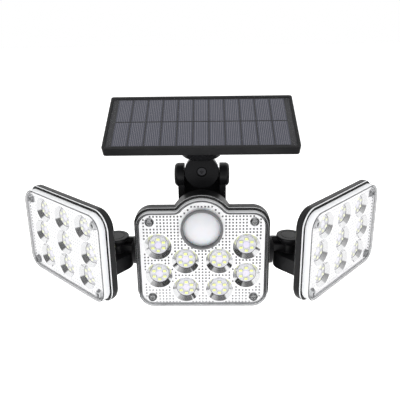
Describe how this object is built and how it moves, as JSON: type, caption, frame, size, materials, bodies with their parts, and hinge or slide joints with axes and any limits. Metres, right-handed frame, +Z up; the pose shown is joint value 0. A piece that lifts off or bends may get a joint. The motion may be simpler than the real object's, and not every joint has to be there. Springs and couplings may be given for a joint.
{
  "type": "solar wall light",
  "caption": "Wall light with a central lamp head and motion sensor, side lamp heads on two-axis arms, and a tilting solar panel on a fork post.",
  "frame": {"origin": "middle of the wall bracket's back face, on the wall", "axes": "+X to the right of someone facing the light, +Y into the wall, +Z up"},
  "size_m": [0.3523, 0.1226, 0.2008],
  "materials": {
    "black_plastic": "satin moulded ABS",
    "tray_plastic": "fine-grained moulded ABS",
    "clear_cover": "clear polycarbonate",
    "seal_rubber": "matt",
    "silver_reflector": "vacuum-metallised",
    "white_board": "white solder mask",
    "dark_backing": "black glass-fibre laminate",
    "led_phosphor": "yellow phosphor",
    "screw_steel": "zinc-plated",
    "dark_steel": "black oxide",
    "sensor_white": "frosted polyethylene",
    "sensor_grey": "satin",
    "sensor_metal": "plain",
    "circuit_green": "solder mask",
    "switch_black": "plain",
    "button_grey": "soft",
    "battery_wrap": "shrink wrap",
    "washer_nylon": "plain",
    "cell_silicon": "dark blue-grey silicon",
    "clear_sheet": "clear"
  },
  "bodies": {
    "lamp_body": {"wall_bracket": "black_plastic", "bracket_screws": "screw_steel", "main_housing": "black_plastic", "rear_cover": "black_plastic", "rear_cover_screws": "screw_steel", "main_seal": "seal_rubber", "main_led_board": "white_board", "main_led_chips": "led_phosphor", "main_reflector": "silver_reflector", "main_cover": "clear_cover", "main_cover_screws": "screw_steel", "sensor_ring": "sensor_grey", "sensor_lens": "sensor_white", "sensor_can": "sensor_metal", "control_board": "circuit_green", "mode_switch": "switch_black", "battery_cell": "battery_wrap", "battery_holder": "switch_black", "panel_post": "black_plastic", "post_screws": "screw_steel", "tilt_bolt": "dark_steel", "tilt_nut": "dark_steel", "button_seal": "seal_rubber", "body_grommet": "seal_rubber"},
    "tilt_joint": {"tilt_block": "black_plastic", "roll_screw": "screw_steel"},
    "solar_panel": {"panel_boss": "black_plastic", "panel_tray": "tray_plastic", "panel_backing": "dark_backing", "solar_cells": "cell_silicon", "panel_sheet": "clear_sheet", "boss_screws": "screw_steel", "panel_grommet": "seal_rubber"},
    "button": {"mode_button": "button_grey"},
    "left_arm_body": {"left_arm": "black_plastic", "left_arm_cap": "black_plastic", "left_swivel_bolt": "dark_steel", "left_pivot_bolt": "dark_steel", "left_pivot_washer": "washer_nylon"},
    "left_head": {"left_housing": "black_plastic", "left_seal": "seal_rubber", "left_led_board": "white_board", "left_led_chips": "led_phosphor", "left_reflector": "silver_reflector", "left_cover": "clear_cover", "left_cover_screws": "screw_steel"},
    "right_arm_body": {"right_arm": "black_plastic", "right_arm_cap": "black_plastic", "right_swivel_bolt": "dark_steel", "right_pivot_bolt": "dark_steel", "right_pivot_washer": "washer_nylon"},
    "right_head": {"right_housing": "black_plastic", "right_seal": "seal_rubber", "right_led_board": "white_board", "right_led_chips": "led_phosphor", "right_reflector": "silver_reflector", "right_cover": "clear_cover", "right_cover_screws": "screw_steel"}
  },
  "joints": [
    {"name": "panel_tilt", "type": "hinge", "parent": "lamp_body", "child": "tilt_joint", "pos_m": [0, -0.0285, 0.0725], "axis": [1, 0, 0], "range_deg": [-9, 25]},
    {"name": "panel_roll", "type": "hinge", "parent": "tilt_joint", "child": "solar_panel", "pos_m": [0, -0.044, 0.0798], "axis": [0, 1, 0], "range_deg": [-12, 12]},
    {"name": "left_arm_swivel", "type": "hinge", "parent": "lamp_body", "child": "left_arm_body", "pos_m": [-0.0648, -0.054, 0.0013], "axis": [1, 0, 0], "range_deg": [-15, 20]},
    {"name": "left_head_turn", "type": "hinge", "parent": "left_arm_body", "child": "left_head", "pos_m": [-0.086, -0.054, 0], "axis": [0, 0, 1], "range_deg": [-15, 25]},
    {"name": "right_arm_swivel", "type": "hinge", "parent": "lamp_body", "child": "right_arm_body", "pos_m": [0.0648, -0.054, 0.0013], "axis": [1, 0, 0], "range_deg": [-15, 20]},
    {"name": "right_head_turn", "type": "hinge", "parent": "right_arm_body", "child": "right_head", "pos_m": [0.086, -0.054, 0], "axis": [0, 0, 1], "range_deg": [-30, 9]},
    {"name": "mode_press", "type": "slide", "parent": "lamp_body", "child": "button", "axis": [0, 0, 1], "range_m": [0, 0.0012], "stiffness_N_per_m": 500, "springref_m": -0.0006}
  ]
}
